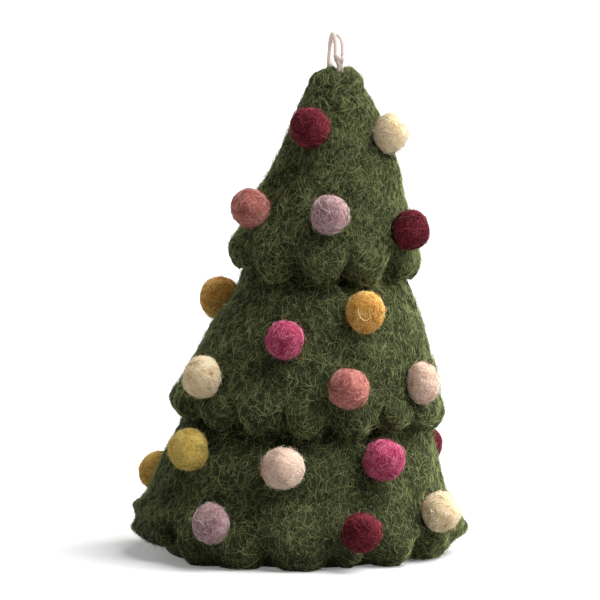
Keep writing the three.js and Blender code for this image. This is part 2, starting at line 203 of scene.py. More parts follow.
# Balls that are out of round: number, then how wide, how tall and how pinched above the middle
BALL_SHAPES = {
    1: (1.01, 1.04, 0), 2: (1, 1.05, 0), 3: (1.02, 1, 0), 6: (0.95, 1.05, 0),
    8: (0.98, 1.03, 0), 15: (1, 1.08, 0), 16: (0.98, 1.06, 0), 18: (0.97, 1.05, 0),
    19: (1.02, 1, 0), 20: (0.89, 1.08, 0.07), 25: (1.03, 1.04, 0), 26: (0.93, 1.04, 0),
    29: (0.92, 1.03, 0),
}

# Balls that the thread pulls aside from their plain seat: number, then millimetres right and up
BALL_SHIFTS = {
    2: (0, -0.4), 5: (-0.3, 0), 6: (0, -0.2), 15: (-0.2, -0.2),
    25: (-0.35, -0.2), 26: (0.7, -0.6), 27: (-0.4, 0), 29: (0.45, -0.3),
}

# Where the stuffed wall has settled to the right of its plain cone: height, then mm on its left and on
# its right
SETTLED = [
    (0, 0, 0), (38.5, 0, 0), (42, 1.8, 0.7), (45, 2, 1.2),
    (50, 0.9, 1.2), (56, 1.4, 1.2), (60, 2.7, 1.4), (64, 3, 1.2),
    (67, 1.1, 0.6), (70, 0, 0), (86, 0.3, 0), (90, 1.1, 0.1),
    (97, 0.7, 0.7), (101, 0.9, 0.5), (107, 0.5, 0.6), (113, 0, 0),
]
# The wall passes from its left to its right over this reach, and the left of the back settles less
SETTLED_REACH = 15
BACK_LOSS = 0.6
BACK_FROM = 1
BACK_TO = 9

# Wool colours: the shade between the fibres, the usual fibre and the palest fibre
GREEN_WOOL = ("#10130c", "#4c5434", "#a8b074")
BALL_WOOL = {
    "crimson": ("#22050c", "#5d131e", "#ae4958"),
    "cream": ("#d0ae7e", "#ffe7bc", "#fff9e8"),
    "terracotta": ("#6a322b", "#bf7067", "#efb9ae"),
    "lilac": ("#6a4c51", "#ba9293", "#ecd6d8"),
    "mustard": ("#825212", "#e2a74a", "#ffe0a0"),
    "magenta": ("#601030", "#b93e62", "#ee97b0"),
    "blush": ("#b7907c", "#f3d5be", "#fff0e6"),
    "yellow": ("#937a2a", "#e7c65f", "#fbeaa4"),
    "ochre": ("#a87428", "#ffcd5c", "#ffe9a8"),
}
STUFFING_WOOL = ("#a89e88", "#d8d0bd", "#f3eee2")
STRING_COTTON = ("#d6c4ba", "#f0e2da", "#f9eee8")
# How much of the string's light comes through it
SEE_THROUGH = 0.5


# Small helpers


def smooth_step(value, low, high):
    share = np.clip((value - low) / (high - low), 0, 1)
    return share * share * (3 - 2 * share)


def unit(vectors):
    return vectors / np.linalg.norm(vectors, axis=-1, keepdims=True)


def read_points(mesh):
    """A mesh's vertices in millimetres."""
    points = np.empty(len(mesh.vertices) * 3, np.float32)
    mesh.vertices.foreach_get("co", points)
    return points.reshape(-1, 3).astype(float) / MM


def write_points(mesh, points):
    """Puts a mesh's vertices at points given in millimetres."""
    mesh.vertices.foreach_set("co", (points * MM).astype(np.float32).ravel())
    mesh.update()


def read_normals(mesh):
    normals = np.empty(len(mesh.vertices) * 3, np.float32)
    mesh.vertex_normals.foreach_get("vector", normals)
    return normals.reshape(-1, 3).astype(float)


def write_tones(mesh, tones):
    """Keeps how pale the wool is at each vertex, from 0 for shade to 1 for the palest fibre."""
    attribute = mesh.attributes.new("fibre_tone", "FLOAT", "POINT")
    attribute.data.foreach_set("value", np.asarray(tones, np.float32))


def new_piece(name, bm, material):
    """An object from a bmesh that is already in metres."""
    mesh = bpy.data.meshes.new(name)
    bm.to_mesh(mesh)
    bm.free()
    mesh.materials.append(material)
    mesh.shade_smooth()
    piece = bpy.data.objects.new(name, mesh)
    bpy.context.scene.collection.objects.link(piece)
    return piece


def lumps(points, wavelength, seed):
    """Smooth lumpiness between about -1 and 1 at points in millimetres, from waves many ways."""
    rng = np.random.default_rng(seed)
    total = np.zeros(len(points))
    waves = 9
    for _ in range(waves):
        direction = unit(rng.normal(size=3))
        pitch = wavelength * rng.uniform(0.7, 1.5)
        total += np.sin(points @ direction * (2 * math.pi / pitch) + rng.uniform(0, 2 * math.pi))
    return total / math.sqrt(waves)


# Shape of the tree


def leaning(radius, bearing, height):
    """Points of the upright tree, moved to where the leaning tree has them."""
    x = radius * np.sin(bearing)
    y = -radius * np.cos(bearing)
    share = np.clip(height / TREE_HEIGHT, 0, 1)
    slope = LEAN * 6 * share * (1 - share) / TREE_HEIGHT
    lean = LEAN * smooth_step(height, 0, TREE_HEIGHT)
    return np.stack([x + lean, y, height - x * slope * TILT_SHARE], axis=-1)


def about_axis(points):
    """Radius and bearing of points of the upright tree."""
    return np.hypot(points[:, 0], points[:, 1]), np.arctan2(points[:, 0], -points[:, 1])


def cone_radius(tier, height):
    """Radius of a tier's plain cone, which goes on upwards under the tier above."""
    drop = (tier["waist"] - height) / (tier["waist"] - tier["hem"])
    bent = np.where(drop > 0, np.maximum(drop, 0) ** tier["curve"], drop)
    return tier["waist_radius"] + (tier["hem_radius"] - tier["waist_radius"]) * bent


def flared_radius(tier, height):
    flare = 0 if tier["below"] else BOTTOM_FLARE * (1 - smooth_step(height, FLARE_LOW, FLARE_HIGH))
    return cone_radius(tier, height) + flare


def outer_radius(tier, height):
    """Radius in the middle of a lobe: the hem curls in until it sinks into the tier below."""
    height = np.asarray(height, float)
    low = np.clip(1 - (height - tier["hem"]) / CURL_HEIGHT, 0, 1)
    curl = flared_radius(tier, tier["hem"]) - tier["edge_radius"]
    radius = flared_radius(tier, height) - curl * low**CURL_ROUND
    if tier["top_edge"]:
        return radius
    rise = np.clip((height - tier["waist"]) / CROWN_DEPTH, 0, 1)
    return np.where(rise > 0, tier["waist_radius"] * np.sqrt(1 - rise * rise), radius)


def inner_radius(tier, height):
    """One felt thickness in from the cone, and thinner where the hem curls in."""
    wall = np.minimum(cone_radius(tier, height) - FELT, outer_radius(tier, height) - EDGE_FELT)
    return wall if tier["below"] else np.minimum(wall, PAD_REACH)


def lobe_place(tier, bearing, roundness):
    """How hollow a hem is at a bearing and how far its edge is lifted, both against a full notch, and
    how far the edge stands out."""
    starts, notches, lifts, stands = (np.array(column, float) for column in zip(*tier["lobes"]))
    starts = np.append(starts, starts[0] + 360)
    notches = np.append(notches, notches[0])
    degrees = (np.degrees(bearing) - starts[0]) % 360 + starts[0]
    lobe = np.clip(np.searchsorted(starts, degrees, side="right") - 1, 0, len(lifts) - 1)
    before = degrees - starts[lobe]
    after = starts[lobe + 1] - degrees
    reach = np.minimum((before + after) / 2, math.degrees(LOBE_REACH / tier["hem_radius"]))
    inward = np.clip(np.minimum(before, after) / reach, 0, 1)
    fullness = np.sin(math.pi / 2 * inward) ** roundness
    notch = np.where(before < after, notches[lobe], notches[lobe + 1])
    return notch * (1 - fullness), lifts[lobe] * fullness, stands[lobe] * fullness


def wall_points(tier, radius, bearing, height):
    """Points of a tier's wall, pressed in and raised at the notches of its hem."""
    hollow, lift, stand = lobe_place(tier, bearing, LOBE_ROUND)
    furrow = np.minimum(lobe_place(tier, bearing, PUFF_ROUND)[0], FURROW_LIMIT)
    depth = 1
    if not tier["below"]:
        inner = inner_radius(tier, height)
        depth = np.clip((radius - inner) / (outer_radius(tier, height) - inner), 0, 1)
    share = 1 - smooth_step(height, tier["hem"], tier["hem"] + NOTCH_REACH)
    near_edge = 1 - smooth_step(height, tier["hem"] + STAND_LOW, tier["hem"] + STAND_HIGH)
    pressed = radius - depth * (share * tier["dent"] * furrow - near_edge * stand)
    raised = height + share * tier["notch"] * (hollow + lift)
    # The lifted lobe on the left of the lowest tier is a flap that hangs straight, with a wavy edge.
    if not tier["below"]:
        low = 1 - smooth_step(raised, FLAP_LOW, FLAP_HIGH)
        flap = depth * low * np.where(np.sin(bearing) < 0, np.clip(lift, 0, 1), 0)
        wave = FLAP_WAVE * np.cos((raised - FLAP_WAVE_CREST) / FLAP_WAVE_PITCH * 2 * math.pi)
        straight = FLAP_RADIUS + wave - 2 * np.clip(1 - (height - tier["hem"]) / 2, 0, 1) ** 2
        pressed = pressed + flap * (straight - pressed)
    return leaning(pressed, bearing, raised)


def sunk_under(above, furrow, bearing, height):
    """How far a tier is drawn in under the hem above it, most at the front and the back, and further
    behind that hem's notches."""
    low = above["hem"]
    deepest = above["tuck"] * (SIDE_TUCK + (1 - SIDE_TUCK) * np.cos(bearing) ** 2)
    deepest = deepest + above["left_tuck"] * np.clip(-np.sin(bearing), 0, 1) ** 2
    drawn = deepest * smooth_step(height, low - TUCK_REACH, low)
    high = low + above["notch"]
    opening = smooth_step(height, low - POCKET_BELOW, low + POCKET_ABOVE)
    closing = 1 - smooth_step(height, high, high + POCKET_CLOSING)
    return drawn + POCKET_DEPTH * np.clip(furrow, 0, 1) ** POCKET_ROUND * opening * closing


def settled(points):
    """Moves the stuffed wall sideways to where it has settled, off its plain cone."""
    heights, on_left, on_right = (np.array(column, float) for column in zip(*SETTLED))
    axis = leaning(np.zeros(len(points)), 0.0, points[:, 2])[:, 0]
    rightness = smooth_step(points[:, 0] - axis, -SETTLED_REACH, SETTLED_REACH)
    frontness = 1 - BACK_LOSS * smooth_step(points[:, 1], BACK_FROM, BACK_TO)
    left = np.interp(points[:, 2], heights, on_left) * frontness
    right = np.interp(points[:, 2], heights, on_right)
    points = points.copy()
    points[:, 0] += left + (right - left) * rightness
    return points


def ball_seat(tier, bearing_degrees, share, size):
    """Centre of a sewn-on ball and the way that the felt faces under it."""
    bearing = math.radians(bearing_degrees)
    height = tier["hem"] + (tier["waist"] - tier["hem"]) * share

    def surface(turn, level):
        return leaning(outer_radius(tier, level), turn, level)

    step = 0.02
    sideways = surface(bearing + step, height) - surface(bearing - step, height)
    upward = surface(bearing, height + 1) - surface(bearing, height - 1)
    outward = unit(np.cross(sideways, upward))
    return surface(bearing, height) + outward * (BALL_DIAMETER * size / 2 - BALL_SINK), outward


SEATS = [ball_seat(tier, bearing, share, size) for tier, colour, bearing, share, size in BALLS]
BALL_CENTRES = np.array([centre for centre, outward in SEATS])
for number, (right, up) in BALL_SHIFTS.items():
    BALL_CENTRES[number - 1] += [right, 0, up]
BALL_RADII = np.array([BALL_DIAMETER * size / 2 for *place, size in BALLS])


def clear_of_balls(points, gap):
    """Moves points that lie in a ball out to its surface, plus a gap."""
    points = points.copy()
    for centre, radius in zip(BALL_CENTRES, BALL_RADII):
        away = points - centre
        distance = np.linalg.norm(away, axis=-1, keepdims=True)
        inside = (distance < radius + gap)[..., 0]
        points[inside] = centre + away[inside] / distance[inside] * (radius + gap)
    return points


# Materials


def linear(hex_colour):
    """An sRGB hex colour as linear red, green, blue and alpha."""
    channels = [int(hex_colour[start : start + 2], 16) / 255 for start in (1, 3, 5)]
    return [c / 12.92 if c <= 0.04045 else ((c + 0.055) / 1.055) ** 2.4 for c in channels] + [1.0]


def add_node(tree, kind, inputs, **settings):
    """Adds a shader node with its settings, and sets or links its inputs."""
    made = tree.nodes.new("ShaderNode" + kind)
    for name, value in settings.items():
        setattr(made, name, value)
    for socket, value in inputs.items():
        if isinstance(value, bpy.types.NodeSocket):
            tree.links.new(value, made.inputs[socket])
        else:
            made.inputs[socket].default_value = value
    return made


def fibre_colour(tree, colours, patterns=(), sunk=0.0):
    """The colour of fibres: the tone kept at each vertex, raised by a share of each pattern and then sunk,
    gives the shade at 0, the usual colour halfway and the palest at 1."""
    level = add_node(tree, "Attribute", {}, attribute_name="fibre_tone").outputs["Fac"]
    for pattern, share in patterns:
        raised = add_node(tree, "Math", {0: pattern, 1: share, 2: level}, operation="MULTIPLY_ADD")
        level = raised.outputs["Value"]
    lowered = add_node(tree, "Math", {0: level, 1: sunk}, operation="SUBTRACT")
    ramp = add_node(tree, "ValToRGB", {"Fac": lowered.outputs["Value"]})
    shade, usual, pale = colours
    ramp.color_ramp.elements[0].color = linear(shade)
    ramp.color_ramp.elements[1].color = linear(pale)
    ramp.color_ramp.elements.new(0.5).color = linear(usual)
    return ramp.outputs["Color"]


def new_material(name):
    material = bpy.data.materials.new(name)
    material.use_nodes = True
    material.node_tree.nodes.clear()
    return material, material.node_tree


# How much clumps and specks of fibre change a tone
MOTTLE = 0.4
# A wool fibre is 0.03 mm thick. Drawn 0.24 mm wide, so that single fibres can be seen, and 2.4 mm long.
STROKE_WIDTH = 0.24
STROKE_LENGTH = 2.4
# Ways that the strokes of fibre run, as turns about x, y and z in degrees
STROKE_TURNS = [(8, 0, 0), (-35, 20, 0), (40, 30, 10), (80, 15, 0), (10, 75, 20), (60, -50, 0)]


def fibre_strokes(tree, place):
    """Fine straight strokes that cross in many ways: 1 on a fibre and 0 between them."""
    size = (STROKE_WIDTH * MM, STROKE_WIDTH * MM, STROKE_LENGTH * MM)
    total = 0.0
    for turns in STROKE_TURNS:
        along = add_node(
            tree,
            "Mapping",
            {"Vector": place, "Rotation": [math.radians(turn) for turn in turns], "Scale": size},
            vector_type="TEXTURE",
        )
        grain = add_node(
            tree,
            "TexNoise",
            {"Vector": along.outputs["Vector"], "Scale": 1.0, "Detail": 1.0, "Distortion": 0.6},
        )
        fibre = add_node(
            tree,
            "MapRange",
            {"Value": grain.outputs["Fac"], "From Min": 0.54, "From Max": 0.72},
        )
        larger = add_node(tree, "Math", {0: fibre.outputs["Result"], 1: total}, operation="MAXIMUM")
        total = larger.outputs["Value"]
    return total


def wool_felt(name, wool, stroke_share, glow_depth):
    """Needle-felted wool: a matt mat of crossing fibres with no gloss, a soft glow where fibre ends
    stand towards the light, and paler and darker fibres side by side. Light goes glow_depth mm in."""
    material, tree = new_material(name)
    place = add_node(tree, "TexCoord", {}).outputs["Object"]
    # Clumps of wool are 3 mm across
    clump = add_node(tree, "TexNoise", {"Vector": place, "Scale": 1 / (3 * MM), "Detail": 2.0})
    strokes = fibre_strokes(tree, place)
    patterns = [(clump.outputs["Fac"], MOTTLE), (strokes, stroke_share)]
    bump = add_node(tree, "Bump", {"Height": strokes, "Strength": 0.7, "Distance": 0.2 * MM})
    surface = add_node(
        tree,
        "BsdfPrincipled",
        {
            "Base Color": fibre_colour(tree, wool, patterns, sunk=0.2 + stroke_share * 0.4),
            "Normal": bump.outputs["Normal"],
            "Roughness": 0.95,
            "Specular IOR Level": 0.15,
            "Sheen Weight": 0.1,
            "Sheen Roughness": 0.6,
            "Sheen Tint": linear(wool[2]),
            "Subsurface Weight": 0.5 if glow_depth else 0.0,
            "Subsurface Radius": (1.0, 0.9, 0.8),
            "Subsurface Scale": glow_depth * MM,
        },
    )
    add_node(tree, "OutputMaterial", {"Surface": surface.outputs["BSDF"]})
    return material


def wool_fibre(name, wool):
    """Single wool fibres: matt, each of one tone between the shade and the palest wool."""
    material, tree = new_material(name)
    surface = add_node(
        tree,
        "BsdfPrincipled",
        {"Base Color": fibre_colour(tree, wool), "Roughness": 0.8, "Specular IOR Level": 0.2},
    )
    add_node(tree, "OutputMaterial", {"Surface": surface.outputs["BSDF"]})
    return material


def cotton_string(name):
    """Two-ply cotton string: matt, cream with a warm grey cast, with painted shade where the plies meet."""
    material, tree = new_material(name)
    place = add_node(tree, "TexCoord", {}).outputs["Object"]
    # Cotton fibres in a ply show as 0.2 mm specks, coarser than life.
    speck = add_node(tree, "TexNoise", {"Vector": place, "Scale": 1 / (0.2 * MM), "Detail": 3.0})
    colour = fibre_colour(tree, STRING_COTTON, [(speck.outputs["Fac"], MOTTLE)])
    bump = add_node(
        tree,
        "Bump",
        {"Height": speck.outputs["Fac"], "Strength": 0.4, "Distance": 0.1 * MM},
    )
    surface = add_node(
        tree,
        "BsdfPrincipled",
        {
            "Base Color": colour,
            "Normal": bump.outputs["Normal"],
            "Roughness": 0.85,
            "Specular IOR Level": 0.25,
        },
    )
    # Light comes through the loose cotton
    through = add_node(tree, "BsdfTranslucent", {"Color": colour})
    both = add_node(
        tree,
        "MixShader",
        {0: SEE_THROUGH, 1: surface.outputs["BSDF"], 2: through.outputs["BSDF"]},
    )
    add_node(tree, "OutputMaterial", {"Surface": both.outputs["Shader"]})
    return material


green_felt = wool_felt("needle_felted_green_wool", GREEN_WOOL, stroke_share=0.6, glow_depth=0)
stuffing_wool = wool_felt("carded_stuffing_wool", STUFFING_WOOL, stroke_share=0.4, glow_depth=0)
green_fibre = wool_fibre("green_wool_fibre", GREEN_WOOL)
ball_felts = {}
ball_fibre = {}
for colour, wool in BALL_WOOL.items():
    ball_felts[colour] = wool_felt(f"felted_{colour}_wool", wool, stroke_share=0.5, glow_depth=3)
    ball_fibre[colour] = wool_fibre(f"{colour}_wool_fibre", wool)
string_cotton = cotton_string("two_ply_cotton_string")


# Camera: the photograph's view from the front, a little above, through a long lens

CAMERA_TARGET = Vector((0.7, 0, 61.6)) * MM
CAMERA_DISTANCE = 1600 * MM
CAMERA_ELEVATION = math.radians(5.5)
PIXELS_PER_MM = 4.1
IMAGE_WIDTH = 600

camera_data = bpy.data.cameras.new("camera")
camera_data.sensor_width = 36
camera_data.lens = PIXELS_PER_MM * CAMERA_DISTANCE / MM * camera_data.sensor_width / IMAGE_WIDTH
camera = bpy.data.objects.new("camera", camera_data)
towards_camera = Vector((0, -math.cos(CAMERA_ELEVATION), math.sin(CAMERA_ELEVATION)))
camera.location = CAMERA_TARGET + towards_camera * CAMERA_DISTANCE
camera.rotation_euler = (-towards_camera).to_track_quat("-Z", "Y").to_euler()
bpy.context.scene.collection.objects.link(camera)
bpy.context.scene.camera = camera
bpy.context.scene.view_settings.view_transform = "Standard"


# Hanging string: one string that passes twice through the crown, with its ends knotted at the front

CROWN_TOP = leaning(0.0, 0.0, np.float64(TREE_HEIGHT))
FRONT_ROOT = np.array([0.6, -2.3, 0.6])
BACK_ROOT = np.array([-1.8, 2.3, -0.4])
STITCH_DEPTH = 2.4
GROOVE_DEPTH = 2.6
GROOVE_SLOPE = 1.6
CROWN_CAP = 118.9
RIGHT_CAP = 118.4
RIGHT_SHOULDER = 3.4
PLY_PITCH = 2.2
RUN_APART = 0.45
# Tones of the string: painted shade where its plies meet, on a ply, and painted light towards the knot
PLY_CREASE_SHADE = 0.25
PLY_TONE = 0.6
KNOT_PAINTED_LIGHT = 0.5
LEFT_STRAND = [
    (0.0, -2.5, 0.7), (-0.5, -2.5, 1.9), (-0.5, -2.2, 4.0), (-0.55, -1.5, 6.2),
    (-0.95, -0.3, 7.5), (-1.35, 1.1, 7.3), (-1.8, 2.4, 5.6), (-1.9, 2.9, 2.6),
]
RIGHT_STRAND = [
    (1.0, -2.5, 0.8), (1.2, -2.4, 2.2), (1.25, -1.9, 4.4), (0.95, -1.2, 6.1),
    (0.2, -0.4, 7.1), (-0.75, 0.4, 7.1), (-1.6, 1.2, 5.3), (-2.0, 1.7, 2.9),
]


def buried_run(side):
    """The string's way through the crown, from the back root to the front one, beside its other run."""
    along = unit(FRONT_ROOT - BACK_ROOT)
    beside = np.array([-along[1], along[0], 0]) * side * STRING_DIAMETER * RUN_APART
    down = np.array([0, 0, -STITCH_DEPTH])
    return [
        BACK_ROOT + beside,
        BACK_ROOT + beside + 0.8 * down,
        BACK_ROOT + 0.2 * (FRONT_ROOT - BACK_ROOT) + beside + 1.25 * down,
        BACK_ROOT + 0.8 * (FRONT_ROOT - BACK_ROOT) + beside + 1.25 * down,
        FRONT_ROOT + beside + 0.8 * down,
        FRONT_ROOT + beside,
    ]


def smooth_route(points, spacing):
    """Evenly spaced points of a smooth curve through the given ones."""
    points = np.array(points, float)
    ends = np.vstack([2 * points[0] - points[1], points, 2 * points[-1] - points[-2]])
    route = []
    for before, start, end, after in zip(ends, ends[1:], ends[2:], ends[3:]):
        for share in np.linspace(0, 1, 40, endpoint=False):
            bend = (
                (2 * start)
                + (end - before) * share
                + (2 * before - 5 * start + 4 * end - after) * share**2
                + (3 * start - before - 3 * end + after) * share**3
            )
            route.append(bend / 2)
    route.append(points[-1])
    route = np.array(route)
    lengths = np.concatenate([[0], np.cumsum(np.linalg.norm(np.diff(route, axis=0), axis=1))])
    even = np.linspace(0, lengths[-1], int(lengths[-1] / spacing) + 1)
    return np.stack([np.interp(even, lengths, route[:, axis]) for axis in range(3)], axis=1)


def ply_section():
    """Outline of two plies side by side, to be carried along the string."""
    section = bpy.data.curves.new("ply_outline", "CURVE")
    section.dimensions = "2D"
    outline = section.splines.new("POLY")
    sides = 12
    outline.points.add(sides - 1)
    for side, point in enumerate(outline.points):
        angle = 2 * math.pi * side / sides
        reach = STRING_DIAMETER / 2 * (1.04 + 0.2 * abs(math.cos(angle))) * MM
        point.co = (reach * math.cos(angle), reach * math.sin(angle), 0, 1)
    outline.use_cyclic_u = True
    holder = bpy.data.objects.new("ply_outline", section)
    bpy.context.scene.collection.objects.link(holder)
    return holder


def twisted_string(name, route, cyclic):
    """A two-ply string along a route in millimetres, as a mesh."""
    line = bpy.data.curves.new(name, "CURVE")
    line.dimensions = "3D"
    spline = line.splines.new("POLY")
    spline.points.add(len(route) - 1)
    step = np.linalg.norm(route[1] - route[0])
    for index, (point, place) in enumerate(zip(spline.points, route)):
        point.co = (*(place * MM), 1)
        point.tilt = 2 * math.pi * index * step / PLY_PITCH
    spline.use_cyclic_u = cyclic
    outline = ply_section()
    line.bevel_mode = "OBJECT"
    line.bevel_object = outline
    line.use_fill_caps = True
    drawn = bpy.data.objects.new(name, line)
    bpy.context.scene.collection.objects.link(drawn)
    bpy.context.view_layer.update()
    mesh = bpy.data.meshes.new_from_object(drawn.evaluated_get(bpy.context.evaluated_depsgraph_get()))
    bpy.data.objects.remove(drawn)
    bpy.data.objects.remove(outline)
    bm = bmesh.new()
    bm.from_mesh(mesh)
    bpy.data.meshes.remove(mesh)
    bmesh.ops.remove_doubles(bm, verts=bm.verts, dist=0.01 * MM)
    bmesh.ops.recalc_face_normals(bm, faces=bm.faces)
    piece = new_piece(name, bm, string_cotton)
    points = read_points(piece.data)
    nearest = np.array([np.min(np.linalg.norm(route - point, axis=1)) for point in points])
    # Painted light: the string is made paler near the knot, which lies in the shade of the crown
    near_knot = 1 - smooth_step(points[:, 2], CROWN_TOP[2] + 1.5, CROWN_TOP[2] + 4.5)
    # Painted shade: the string is darker in the groove where its plies meet
    tones = np.interp(nearest, [0.43, 0.52], [PLY_CREASE_SHADE, PLY_TONE])
    write_tones(piece.data, tones + KNOT_PAINTED_LIGHT * near_knot)
    return piece


string_points = [*LEFT_STRAND, *buried_run(1), *RIGHT_STRAND, *buried_run(-1), (0.6, -2.3, 1.7)]
string_route = smooth_route(string_points, 0.15) + CROWN_TOP
hanging_string = twisted_string("hanging_string", string_route, False)

# The knot: an overhand knot pulled tight, three crossings round one middle
KNOT_SIZE = np.array([0.32, 0.5, 0.38])
KNOT_CENTRE = CROWN_TOP + FRONT_ROOT + np.array([-0.15, -0.3, 0.8])
turns = np.linspace(0, 2 * math.pi, 90, endpoint=False)
knot_route = np.stack(
    [np.sin(turns) + 2 * np.sin(2 * turns), -np.sin(3 * turns), np.cos(turns) - 2 * np.cos(2 * turns)],
    axis=1,
)
string_knot = twisted_string("string_knot", knot_route * KNOT_SIZE + KNOT_CENTRE, True)

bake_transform(hanging_string)
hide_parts("hanging_loop", "loop_stitch")
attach(string_knot, "loop")


# Felt tiers


def spun(profile, steps, closed):
    """A bmesh from (radius, height) pairs in millimetres, spun all the way round the upright axis."""
    bm = bmesh.new()
    verts = [bm.verts.new((radius * MM, 0, height * MM)) for radius, height in profile]
    edges = [bm.edges.new(pair) for pair in zip(verts, verts[1:])]
    if closed:
        edges.append(bm.edges.new((verts[-1], verts[0])))
    bmesh.ops.spin(
        bm,
        geom=verts + edges,
        cent=(0, 0, 0),
        axis=(0, 0, 1),
        angle=2 * math.pi,
        steps=steps,
        use_merge=True,
    )
    bmesh.ops.remove_doubles(bm, verts=bm.verts, dist=0.001 * MM)
    bmesh.ops.recalc_face_normals(bm, faces=bm.faces)
    return bm


def tier_profile(tier):
    """The wall of a tier from the inside, down round its hem and up the outside."""
    low = tier["hem"]
    high = tier["top_edge"] or tier["waist"]
    inner_heights = np.linspace(high, low, int((high - low) / 2))
    outer_heights = np.linspace(low, high, int((high - low) / 0.8))
    wall = list(zip(inner_radius(tier, inner_heights), inner_heights))
    wall += list(zip(outer_radius(tier, outer_heights), outer_heights))
    if tier["top_edge"]:
        return wall
    crown = [
        (CROWN_RADIUS * math.cos(angle), tier["waist"] + CROWN_DEPTH * math.sin(angle))
        for angle in np.linspace(0, math.pi / 2, 12)[1:]
    ]
    hollow = CROWN_DEPTH - CROWN_FELT
    inside = [(0, tier["waist"] + hollow), ((CROWN_RADIUS - FELT) * 0.75, tier["waist"] + hollow * 0.6)]
    return inside + wall + crown


def string_groove(points):
    """The knotted string pulls a groove into the crown, and its right shoulder slopes."""
    aside = points[:, 0] - CROWN_TOP[0]
    groove = TREE_HEIGHT - GROOVE_DEPTH + GROOVE_SLOPE * np.abs(aside - FRONT_ROOT[0])
    cap = np.where(aside > FRONT_ROOT[0], RIGHT_CAP - np.maximum(aside - RIGHT_SHOULDER, 0), CROWN_CAP)
    drop = np.maximum(points[:, 2] - np.minimum(groove, cap), 0)
    return points - drop[:, None] * [0, 0, 1]


# Felted wool is never even: height and width of its swells, from as wide as a lobe to small lumps
FELT_SWELLS = [(0.3, 14), (0.16, 5), (0.1, 2.2)]
# Gap that the felt and its hairs keep from a ball
BALL_GAP = 0.15


def felt_tier(tier, above, steps, seed):
    bm = spun(tier_profile(tier), steps, tier["top_edge"] is not None)
    piece = new_piece(f"{tier['name']}_felt", bm, green_felt)
    mesh = piece.data
    points = read_points(mesh)
    radius, bearing = about_axis(points)
    height = points[:, 2]
    sunk = np.zeros(len(points))
    if above:
        sunk = sunk_under(above, lobe_place(above, bearing, PUFF_ROUND)[0], bearing, height)
    points = settled(wall_points(tier, radius - sunk, bearing, height))
    write_points(mesh, points)
    swell = sum(high * lumps(points, wide, seed + index) for index, (high, wide) in enumerate(FELT_SWELLS))
    points = points + read_normals(mesh) * swell[:, None]
    if not above:
        points = string_groove(points)
    points = clear_of_balls(points, BALL_GAP)
    points[:, 2] = np.maximum(points[:, 2], 0)
    write_points(mesh, points)
    # Tone at random, with painted shade where the tier is drawn in under the hem above and behind its
    # notches
    write_tones(mesh, 0.2 + 0.08 * lumps(points, 9, seed + 3) - 0.05 * sunk)
    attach(piece, "tree")
    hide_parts(tier["name"])
    return piece


tier_pieces = [
    (BOTTOM, felt_tier(BOTTOM, MIDDLE, steps=340, seed=11)),
    (MIDDLE, felt_tier(MIDDLE, TOP, steps=300, seed=12)),
    (TOP, felt_tier(TOP, None, steps=260, seed=13)),
]


# Base pad and stuffing


def lumpy_fill(name, profile, material, steps, swell_height, seed):
    piece = new_piece(name, spun(profile, steps, False), material)
    points = read_points(piece.data)
    points = leaning(*about_axis(points), points[:, 2])
    write_points(piece.data, points)
    points = points - read_normals(piece.data) * (swell_height * (1 + lumps(points, 8, seed)))[:, None]
    points[:, 2] = np.maximum(points[:, 2], 0)
    write_points(piece.data, points)
    write_tones(piece.data, 0.35 + 0.1 * lumps(points, 5, seed + 1))
    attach(piece, "tree")
    return piece


pad_radius = inner_radius(BOTTOM, 0) - CLEARANCE
pad_profile = [(pad_radius * share, 0) for share in np.linspace(0, 0.98, 24)]
pad_profile += [(pad_radius, 0.6), (pad_radius, PAD_THICKNESS - 0.6)]
pad_profile += [(pad_radius * share, PAD_THICKNESS) for share in np.linspace(0.98, 0, 24)]
base_pad = lumpy_fill("base_pad_felt", pad_profile, green_felt, steps=120, swell_height=0.12, seed=21)
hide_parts("base_pad")

foot = PAD_THICKNESS + CLEARANCE
core_profile = [(0, foot), (PAD_REACH - 8, foot)]
levels = [foot, BOTTOM["top_edge"] + CLEARANCE, MIDDLE["top_edge"] + CLEARANCE, TOP["waist"] - CLEARANCE]
for tier, above, low, high in zip((BOTTOM, MIDDLE, TOP), (MIDDLE, TOP, None), levels, levels[1:]):
    heights = np.linspace(low, high, 24)
    drawn_in = 4 * (1 - smooth_step(heights, foot, foot + 6))
    if above:
        drawn_in += sunk_under(above, 1, 0, heights)
    core_profile += list(zip(inner_radius(tier, heights) - CLEARANCE - drawn_in, heights))
core_profile.append((0, levels[-1]))
wool_core = lumpy_fill("wool_stuffing", core_profile, stuffing_wool, steps=72, swell_height=0.2, seed=22)
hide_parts("wool_core")


# Felt balls


# A ball with a small dent where its thread goes in, painted darker as shade
HOLED_BALL = 18
HOLE_PLACE = (2.3, 1.4)
HOLE_RADIUS = 0.7


def front_point(number, right, up, off):
    """The place on a ball that is seen so many mm right of its centre and above it, some mm off it."""
    reach = BALL_RADII[number - 1] - BALL_SHRINK
    forward = math.sqrt(reach**2 - right**2 - up**2)
    way = unit(np.array([right, -forward, up]))
    return BALL_CENTRES[number - 1] + way * (reach + off)


